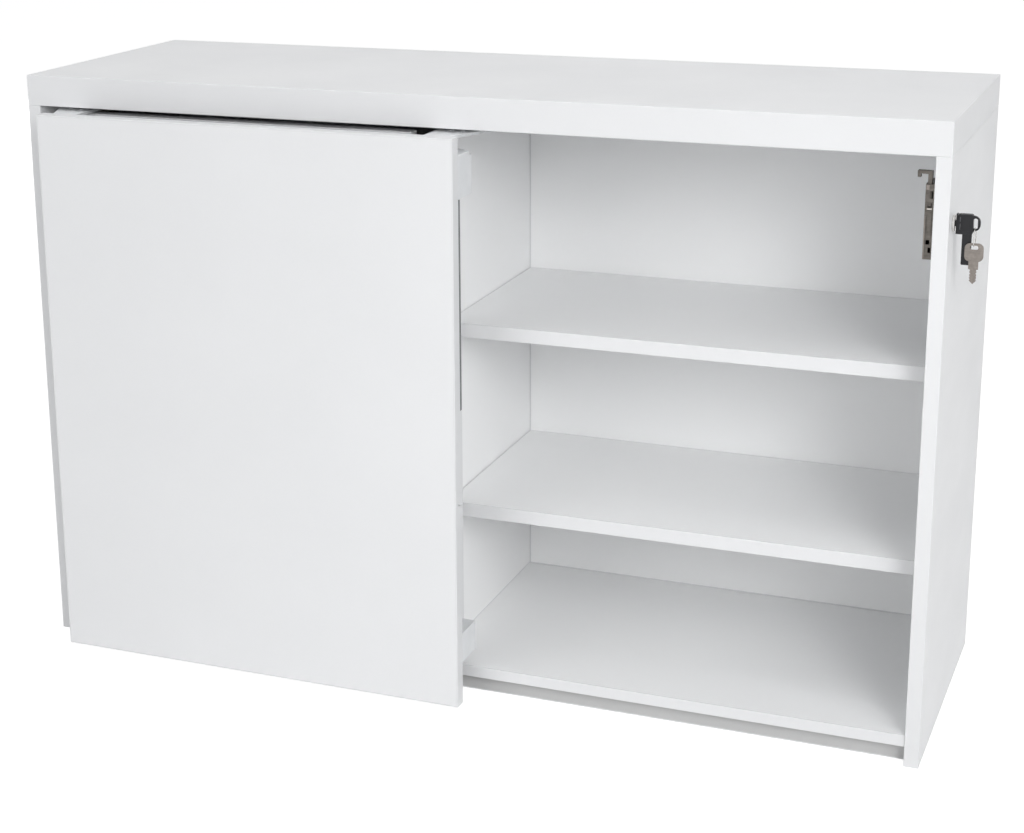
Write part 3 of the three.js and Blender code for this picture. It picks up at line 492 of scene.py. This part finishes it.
# Shelf pins: turned steel, plated and pushed into the drilled holes. The divider's pins go right
# through it and carry the shelves of both bays.
metal, metal_in, metal_out = effect_group("worked_metal", "Gloss", "Haze")
metal_lines = noise(metal, stretched(metal, (40, 900, 900)), scale=1.0, detail=3.0, roughness=0.6)
metal_stain = noise(metal, stretched(metal, (1, 1, 1)), scale=160.0, detail=4.0, roughness=0.6)
metal_scuff = noise(metal, stretched(metal, (500, 90, 140)), scale=1.0, detail=3.0, roughness=0.7)
metal_shade = arithmetic(
    metal, "ADD", ranged(metal, metal_stain, 0.0, 0.6), ranged(metal, metal_lines, 0.0, 0.4),
)
metal_wear = arithmetic(metal, "MULTIPLY", ranged(metal, metal_scuff, 0.0, 1.0), metal_in["Haze"])
link(metal, tinted(metal, metal_shade, metal_in["Dark"], metal_in["Light"]), metal_out["Colour"])
link(metal, arithmetic(metal, "ADD", metal_in["Gloss"], metal_wear), metal_out["Roughness"])
link(metal, arithmetic(metal, "ADD", metal_lines, metal_scuff), metal_out["Height"])
plated_steel = finish_from("plated_steel", metal, 0.00003, {
    "Light": (0.62, 0.59, 0.55, 1.0),
    "Dark": (0.40, 0.375, 0.345, 1.0),
    "Gloss": 0.24,
    "Haze": 0.22,
    "Metallic": 1.0,
})
weld_distance = 0.000002
flat_angle = math.radians(1.0)
crease_angle = math.radians(32)


def flat_faces_joined(name, source):
    """A copy of a mesh in which the triangles of each flat face are one face."""
    solid = bmesh.new()
    solid.from_mesh(source)
    bmesh.ops.remove_doubles(solid, verts=solid.verts[:], dist=weld_distance)
    bmesh.ops.dissolve_limit(solid, angle_limit=flat_angle, verts=solid.verts[:], edges=solid.edges[:])
    return as_mesh(name, solid)


def ease(piece, bevel):
    """Rounds a piece's corners and lets the light run smoothly over them."""
    finish = piece.data.materials[0]
    piece.data = flat_faces_joined(piece.name, piece.data)
    piece.data.materials.append(finish)
    piece.data.polygons.foreach_set("use_smooth", [True] * len(piece.data.polygons))
    piece.data.set_sharp_from_angle(angle=crease_angle)
    rounding = piece.modifiers.new("eased_edges", "BEVEL")
    rounding.width = bevel
    rounding.segments = 2
    rounding.limit_method = "ANGLE"
    rounding.angle_limit = crease_angle
    rounding.use_clamp_overlap = True
    shading = piece.modifiers.new("even_shading", "WEIGHTED_NORMAL")
    shading.keep_sharp = True


def finished(node, body, slot, material, bevel, cutters=()):
    """A CAD node's shape with its edges eased, its rounds smooth and its real finish."""
    name = node + "_finished"
    mesh = flat_faces_joined(name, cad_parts[node].data)
    mesh.materials.append(material)
    piece = add_piece(name, mesh, body, slot, node)
    cut_away(piece, cutters)
    ease(piece, bevel)


for side in ("left", "centre", "right"):
    for node in pin_names(side):
        finished(node, "carcass", "nickel", plated_steel, bevel=0.0005)

# Tracks: drawn aluminium, clear anodised. The double track is screwed under the top, and the small
# channel in the bottom panel's underside keeps the front door from swinging.
drawn_aluminium = finish_from("drawn_aluminium", metal, 0.00003, {
    "Light": (0.66, 0.67, 0.68, 1.0),
    "Dark": (0.52, 0.53, 0.54, 1.0),
    "Gloss": 0.30,
    "Haze": 0.16,
    "Metallic": 1.0,
})
finished("top_track", "carcass", "aluminium", drawn_aluminium, bevel=0.0003)
finished("lower_guide_rail", "carcass", "aluminium", drawn_aluminium, bevel=0.0002)

# Rear door's floor guide: a small block of moulded nylon, fixed on the bottom panel. Its tongue runs
# in a groove in the door's lower edge.
moulded, moulded_in, moulded_out = effect_group("moulded_plastic", "Gloss", "Rubbed")
moulded_even = stretched(moulded, (1, 1, 1))
moulded_flow = noise(moulded, moulded_even, scale=45.0, detail=3.0, roughness=0.6)
moulded_spark = noise(moulded, moulded_even, scale=1900.0, roughness=0.6)
moulded_rub = noise(moulded, stretched(moulded, (220, 60, 130)), scale=1.0, detail=4.0, roughness=0.65)
moulded_shade = ranged(moulded, moulded_flow, 0.0, 1.0)
moulded_haze = arithmetic(moulded, "MULTIPLY", ranged(moulded, moulded_rub, 0.0, 1.0), moulded_in["Rubbed"])
link(moulded, tinted(moulded, moulded_shade, moulded_in["Dark"], moulded_in["Light"]), moulded_out["Colour"])
link(moulded, arithmetic(moulded, "ADD", moulded_in["Gloss"], moulded_haze), moulded_out["Roughness"])
link(moulded, moulded_spark, moulded_out["Height"])
white_nylon = finish_from("white_nylon", moulded, 0.00004, {
    "Light": (0.80, 0.815, 0.83, 1.0),
    "Dark": (0.75, 0.765, 0.78, 1.0),
    "Gloss": 0.38,
    "Rubbed": 0.14,
})
finished("rear_door_guide", "carcass", "white_plastic", white_nylon, bevel=0.0003)

# Rear door: a faced board that runs inside the carcass. Its top corners are notched for the hangers,
# a groove below takes the floor guide, and a round-ended pocket is milled for the fingers.
hanger_notch_width = 0.057
hanger_notch_height = 0.022
pull_low_z = 0.275
pull_high_z = 0.397
pull_depth = 0.010
pocket_inset = 0.030
pocket_width = 0.028
groove_half = 0.003
groove_depth = 0.010


def slot_outline(low, high):
    """A round-ended slot, its length along the second axis."""
    radius = (high[0] - low[0]) / 2
    middle = (high[0] + low[0]) / 2
    steps = 12
    outline = []
    for start, level in ((0, high[1] - radius), (math.pi, low[1] + radius)):
        for step in range(steps + 1):
            angle = start + math.pi * step / steps
            outline.append((middle + radius * math.cos(angle), level + radius * math.sin(angle)))
    return outline


rear_low, rear_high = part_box("rear_door_panel")
notch_left = rear_low.x + hanger_notch_width
notch_right = rear_high.x - hanger_notch_width
notch_floor = rear_high.z - hanger_notch_height
rear_door = board("rear_door_panel", "rear_door", along_y, [
    (rear_low.x, rear_low.z),
    (rear_high.x, rear_low.z),
    (rear_high.x, notch_floor),
    (notch_right, notch_floor),
    (notch_right, rear_high.z),
    (notch_left, rear_high.z),
    (notch_left, notch_floor),
    (rear_low.x, notch_floor),
])
pocket_left = rear_low.x + pocket_inset
pocket_outline = slot_outline((pocket_left, pull_low_z), (pocket_left + pocket_width, pull_high_z))
pocket = cutter_mesh(pocket_outline, along_y, rear_low.y - overcut, rear_low.y + pull_depth)
groove_middle = (rear_low.y + rear_high.y) / 2
groove_outline = rectangle(
    (groove_middle - groove_half, rear_low.z - overcut),
    (groove_middle + groove_half, rear_low.z + groove_depth),
)
groove = cutter_mesh(groove_outline, along_x, rear_low.x - overcut, rear_high.x + overcut)
cut_away(rear_door, [pocket, groove])

# Its hangers: pressed steel angles screwed behind the notches, each with an axle for a nylon roller.
# The screws are pan heads with a cross recess.
screw_radius = 0.0032
screw_dome = 0.0016
screw_sides = 24
dome_steps = 5
cross_length = 0.0036
cross_width = 0.0009
cross_depth = 0.0010
plate_thickness = 0.003
hanger_screw_spread = 0.012
hanger_screw_rise = 0.009


def screw_mesh(name, centre, axis, outward):
    """A domed screw head on a face; outward is +1 or -1 along the axis."""
    across = other_axes(axis)
    solid = bmesh.new()
    rings = []
    for step in range(dome_steps):
        turn = math.pi / 2 * step / dome_steps
        level = centre[axis] + outward * screw_dome * math.sin(turn)
        middle = [centre[index] for index in across]
        ring = []
        for first, second in circle(middle, screw_radius * math.cos(turn), screw_sides):
            point = [level, level, level]
            point[across[0]] = first
            point[across[1]] = second
            ring.append(solid.verts.new(point))
        rings.append(ring)
    crown = list(centre)
    crown[axis] += outward * screw_dome
    crown_vertex = solid.verts.new(crown)
    solid.faces.new(rings[0])
    for side in range(screw_sides):
        following = (side + 1) % screw_sides
        for lower, upper in zip(rings, rings[1:]):
            solid.faces.new((lower[side], lower[following], upper[following], upper[side]))
        solid.faces.new((rings[-1][side], rings[-1][following], crown_vertex))
    bmesh.ops.recalc_face_normals(solid, faces=solid.faces[:])
    mesh = as_mesh(name, solid)
    mesh.materials.append(plated_steel)
    return mesh


def cross_cutters(centre, axis, outward):
    """Two bars that cut the cross recess of a screw head."""
    across = other_axes(axis)
    top = centre[axis] + outward * (screw_dome + cross_depth)
    low = centre[axis] + outward * (screw_dome - cross_depth)
    cutters = []
    for reach in ((cross_length / 2, cross_width / 2), (cross_width / 2, cross_length / 2)):
        first = [centre[index] - half for index, half in zip(across, reach)]
        second = [centre[index] + half for index, half in zip(across, reach)]
        cutters.append(cutter_mesh(rectangle(first, second), axis, min(low, top), max(low, top)))
    return cutters


def screw_pair(node, body, spread, height):
    """Two screw heads side by side on the back of an upright steel plate."""
    low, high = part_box(node)
    for index, offset in enumerate((-spread, spread)):
        name = f"{node}_screw_{index + 1}"
        centre = ((low.x + high.x) / 2 + offset, low.y + plate_thickness, height)
        piece = add_piece(name, screw_mesh(name, centre, along_y, 1), body, "nickel")
        cut_away(piece, cross_cutters(centre, along_y, 1))
        ease(piece, bevel=0.0001)


for side in ("left", "right"):
    hanger = f"rear_hanger_{side}"
    roller = f"rear_roller_{side}"
    screw_pair(hanger, "rear_door", hanger_screw_spread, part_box(hanger)[0].z + hanger_screw_rise)
    finished(hanger, "rear_door", "nickel", plated_steel, bevel=0.0004)
    finished(roller, roller + "_wheel", "white_plastic", white_nylon, bevel=0.0005)

# Front door: a faced board that runs in front of the carcass. A round-ended scoop is milled into
# the back of its leading edge for the fingers.
front_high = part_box("front_door_panel")[1]
pull_reach = 0.014
front_door = board("front_door_panel", "front_door", along_y)
scoop_outline = slot_outline(
    (front_high.x - pull_reach, pull_low_z),
    (front_high.x + pull_reach, pull_high_z),
)
scoop = cutter_mesh(scoop_outline, along_y, front_high.y - pull_depth, front_high.y + overcut)
cut_away(front_door, [scoop])

# Shade strip: a dark ridge on a thin foot behind the door's leading edge, from the keeper block down to
# the scoop. It is painted shade: a dark piece that stands for the shadow in the gap behind the door's edge.
painted_shade_strip = finish_from("painted_shade_strip", moulded, 0.0001, {
    "Light": (0.24, 0.245, 0.25, 1.0),
    "Dark": (0.15, 0.155, 0.16, 1.0),
    "Gloss": 0.62,
    "Rubbed": 0.12,
    "Specular IOR Level": 0.2,
})
shade_strip_inset = 0.0006
shade_strip_foot_width = 0.0034
shade_strip_foot_height = 0.0010
ridge_foot_width = 0.0018
ridge_tip_width = 0.0012
ridge_tip_lean = 0.0002
ridge_reach = 0.0068
shade_strip_end_gap = 0.001


def relief(name, body, slot, material, outline, axis, start, end, bevel):
    """A small raised piece drawn along one axis, its edges eased."""
    mesh = as_mesh(name, prism(outline, axis, start, end))
    mesh.materials.append(material)
    ease(add_piece(name, mesh, body, slot), bevel)


shade_strip_right = front_high.x - shade_strip_inset
foot_back = front_high.y + shade_strip_foot_height
ridge_tip = front_high.y + ridge_reach
shade_strip_outline = [
    (shade_strip_right - shade_strip_foot_width, front_high.y),
    (shade_strip_right, front_high.y),
    (shade_strip_right, foot_back),
    (shade_strip_right - ridge_tip_lean, ridge_tip),
    (shade_strip_right - ridge_tip_lean - ridge_tip_width, ridge_tip),
    (shade_strip_right - ridge_foot_width, foot_back),
    (shade_strip_right - shade_strip_foot_width, foot_back),
]
shade_strip_low_z = pull_high_z + shade_strip_end_gap
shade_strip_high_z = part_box("keeper_block")[0].z - shade_strip_end_gap
# The strip's dark grey is painted shade, for the gap behind the door's edge.
relief("front_door_painted_shade_strip", "front_door", "black_plastic", painted_shade_strip, shade_strip_outline,
       along_z, shade_strip_low_z, shade_strip_high_z, bevel=0.0002)

# Blocks behind the front door's leading edge: moulded nylon boxes screwed to its back, open on top.
# The upper one is the lock's keeper, cut to let the hook drop in, and the lower one is a spacer.
block_wall = 0.003
block_end = 0.016
block_well = 0.022
for node in ("keeper_block", "spacer_block"):
    low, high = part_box(node)
    well_outline = rectangle(
        (low.x + block_wall, low.y + block_wall),
        (high.x - block_end, high.y - block_wall),
    )
    well = cutter_mesh(well_outline, along_z, high.z - block_well, high.z + overcut)
    finished(node, "front_door", "white_plastic", white_nylon, bevel=0.0006, cutters=[well])

# Front hangers: white nylon brackets on the door's back, slotted steel arms that reach over the rear
# door, and a nylon roller at each arm's end.
pale_zinc = finish_from("pale_zinc", metal, 0.00003, {
    "Light": (0.84, 0.85, 0.86, 1.0),
    "Dark": (0.70, 0.71, 0.72, 1.0),
    "Gloss": 0.34,
    "Haze": 0.20,
    "Metallic": 0.55,
})
arm_slot_width = 0.005
arm_slot_length = 0.016
arm_slot_start = 0.034
arm_slot_spread = 0.008
for side in ("left", "right"):
    arm = f"front_hanger_arm_{side}"
    roller = f"front_roller_{side}"
    finished(f"front_hanger_bracket_{side}", "front_door", "white_plastic", white_nylon, bevel=0.0006)
    low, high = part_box(arm)
    slots = []
    for offset in (-arm_slot_spread, arm_slot_spread):
        slot_middle = (low.x + high.x) / 2 + offset
        outline = slot_outline(
            (slot_middle - arm_slot_width / 2, low.y + arm_slot_start),
            (slot_middle + arm_slot_width / 2, low.y + arm_slot_start + arm_slot_length),
        )
        slots.append(cutter_mesh(outline, along_z, low.z - overcut, high.z + overcut))
    finished(arm, "front_door", "nickel", pale_zinc, bevel=0.0004, cutters=slots)
    finished(roller, roller + "_wheel", "white_plastic", white_nylon, bevel=0.0005)

# Lower guides: steel angles screwed to the foot of the door's back. A nib on each runs in the rail
# under the bottom panel.
guide_screw_spread = 0.009
guide_screw_drop = 0.010
for side in ("left", "right"):
    guide = f"lower_guide_{side}"
    screw_pair(guide, "front_door", guide_screw_spread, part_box(guide)[1].z - guide_screw_drop)
    finished(guide, "front_door", "nickel", plated_steel, bevel=0.0004)

# Lock: a pressed steel case screwed to the inside of the right panel, with windows in its front side,
# a cover bar, a side flange and a small ledge. The plating has gone dull.
dull_nickel = finish_from("dull_nickel", metal, 0.00004, {
    "Light": (0.17, 0.157, 0.143, 1.0),
    "Dark": (0.08, 0.073, 0.066, 1.0),
    "Gloss": 0.32,
    "Haze": 0.25,
    "Metallic": 1.0,
})
worn_plate = finish_from("worn_plate", metal, 0.00003, {
    "Light": (0.30, 0.272, 0.25, 1.0),
    "Dark": (0.19, 0.17, 0.155, 1.0),
    "Gloss": 0.30,
    "Haze": 0.22,
    "Metallic": 1.0,
})
case_low, case_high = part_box("lock_case")
case_front = case_low.y
window_depth = 0.006


def case_area(left, right, upper, lower):
    """A rectangle on the case's front side: sideways in metres, down as shares of the case's height."""
    height = case_high.z - case_low.z
    return rectangle(
        (case_low.x + left, case_high.z - lower * height),
        (case_low.x + right, case_high.z - upper * height),
    )


def case_plate(name, material, area, proud, bevel):
    """A plate raised on the case's front side."""
    relief(name, "carcass", "nickel", material, area, along_y, case_front - proud, case_front, bevel)


case_windows = []
for area in (
    case_area(left=0.0050, right=0.0085, upper=0.09, lower=0.19),
    case_area(left=0.0030, right=0.0075, upper=0.25, lower=0.31),
    case_area(left=0.0028, right=0.0070, upper=0.74, lower=0.80),
    case_area(left=0.0055, right=0.0085, upper=0.84, lower=0.91),
):
    case_windows.append(cutter_mesh(area, along_y, case_front - overcut, case_front + window_depth))
finished("lock_case", "carcass", "nickel", dull_nickel, bevel=0.0003, cutters=case_windows)
bar_area = case_area(left=0.0030, right=0.0082, upper=0.35, lower=0.72)
case_plate("lock_case_bar", dull_nickel, bar_area, proud=0.0008, bevel=0.0003)
flange_area = case_area(left=0.0, right=0.0016, upper=0.42, lower=0.995)
case_plate("lock_case_flange", worn_plate, flange_area, proud=0.0012, bevel=0.0003)
ledge_area = case_area(left=0.0025, right=0.0080, upper=0.315, lower=0.335)
case_plate("lock_case_ledge", plated_steel, ledge_area, proud=0.0014, bevel=0.0002)
top_plate_area = case_area(left=0.0008, right=0.0044, upper=0.01, lower=0.075)
case_plate("lock_case_top_plate", worn_plate, top_plate_area, proud=0.0008, bevel=0.0002)
for node in ("lock_screw_lower", "lock_screw_upper"):
    low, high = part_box(node)
    middle = (low + high) / 2
    recess = cross_cutters((low.x + screw_dome, middle.y, middle.z), along_x, -1)
    finished(node, "carcass", "nickel", plated_steel, bevel=0.0004, cutters=recess)

# Hook bolt: a flat strip of the same dull steel, hooked at its upper end, that rises from the case.
# It drops into the keeper when the key turns.
finished("hook_bolt", "hook", "nickel", dull_nickel, bevel=0.0006)

# Cylinder and plug: turned brass, bright nickel plated. The cylinder goes through the panel, with a
# flange outside, and the plug turns in it with the key.
bright_nickel = finish_from("bright_nickel", metal, 0.00002, {
    "Light": (0.78, 0.77, 0.75, 1.0),
    "Dark": (0.62, 0.60, 0.58, 1.0),
    "Gloss": 0.16,
    "Haze": 0.16,
    "Metallic": 1.0,
})
finished("lock_cylinder", "carcass", "nickel", bright_nickel, bevel=0.0008)
finished("lock_plug", "key", "nickel", bright_nickel, bevel=0.0003)

# Folding key: moulded black plastic, a base on the steel blade and a bow that folds on a pin. The bow
# has a cover shell in front of the pin, with a raised panel and two grip ribs.
black_moulding = finish_from("black_moulding", moulded, 0.00004, {
    "Light": (0.013, 0.013, 0.015, 1.0),
    "Dark": (0.008, 0.008, 0.010, 1.0),
    "Gloss": 0.32,
    "Rubbed": 0.16,
    "Specular IOR Level": 0.38,
})
# The grip ribs are painted a lighter grey than the bow: a painted highlight along its seam.
painted_highlight_moulding = finish_from("painted_highlight_moulding", moulded, 0.00004, {
    "Light": (0.120, 0.122, 0.130, 1.0),
    "Dark": (0.055, 0.056, 0.060, 1.0),
    "Gloss": 0.26,
    "Rubbed": 0.10,
})
finished("key_base", "key", "black_plastic", black_moulding, bevel=0.0005)
finished("key_pivot_pin", "key", "nickel", plated_steel, bevel=0.0002)
finished("key_bow", "bow", "black_plastic", black_moulding, bevel=0.0006)
lock_face_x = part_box("right_side_panel")[1].x
cover_half = 0.0115
bow_half_thickness = 0.0035
cover_thickness = 0.0008
panel_thickness = 0.0003
rib_thickness = 0.0004
cover_back = lock_middle.y - bow_half_thickness
cover_front = cover_back - cover_thickness


def rounded_outline(corners, radius, steps=4):
    """An outline with its corners rounded."""
    outline = []
    count = len(corners)
    for index in range(count):
        corner = Vector(corners[index])
        before = (Vector(corners[index - 1]) - corner).normalized()
        after = (Vector(corners[(index + 1) % count]) - corner).normalized()
        for step in range(steps + 1):
            share = step / steps
            near = corner + before * radius * (1 - share) ** 2 + after * radius * share ** 2
            outline.append((near.x, near.y))
    return outline


def key_relief(name, material, corners, back, thickness, radius, bevel):
    """A raised piece on the bow; its corners are given from the panel's face and the lock's axis."""
    placed = [(lock_face_x + out, lock_middle.z + up) for out, up in corners]
    outline = rounded_outline(placed, radius)
    relief(name, "bow", "black_plastic", material, outline, along_y, back - thickness, back, bevel)


cover_corners = [(0.0045, -cover_half), (0.0226, -cover_half), (0.0232, cover_half), (0.0064, cover_half)]
key_relief("key_bow_cover", black_moulding, cover_corners, cover_back, cover_thickness,
           radius=0.0022, bevel=0.0004)
panel_corners = [(0.0108, -0.0078), (0.0206, -0.0078), (0.0206, 0.0084), (0.0112, 0.0084)]
key_relief("key_bow_panel", black_moulding, panel_corners, cover_front, panel_thickness,
           radius=0.0010, bevel=0.0002)
for name, low_z, high_z in (("key_bow_rib_upper", 0.0030, 0.0084), ("key_bow_rib_lower", -0.0060, 0.0010)):
    rib_corners = [(0.0082, low_z), (0.0090, low_z), (0.0092, high_z), (0.0084, high_z)]
    key_relief(name, painted_highlight_moulding, rib_corners, cover_front, rib_thickness, radius=0.0002, bevel=0.0002)

# Ring and spare key: a steel wire ring through the bow's loop, and a stamped flat key hanging in it.
# The key is blanked from plated brass sheet, with a groove milled down each side of its blade.
finished("key_ring", "spare", "nickel", bright_nickel, bevel=0.0001)
blade_groove_half = 0.0009
blade_groove_start = 0.0035
blade_groove_end = 0.0190
blade_groove_depth = 0.0005
spare_low, spare_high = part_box("spare_key")
spare_middle = (spare_low.x + spare_high.x) / 2
blade_groove = rectangle(
    (spare_middle - blade_groove_half, spare_low.z + blade_groove_start),
    (spare_middle + blade_groove_half, spare_low.z + blade_groove_end),
)
finished("spare_key", "spare", "nickel", worn_plate, bevel=0.0003, cutters=[
    cutter_mesh(blade_groove, along_y, spare_low.y - overcut, spare_low.y + blade_groove_depth),
    cutter_mesh(blade_groove, along_y, spare_high.y - blade_groove_depth, spare_high.y + overcut),
])
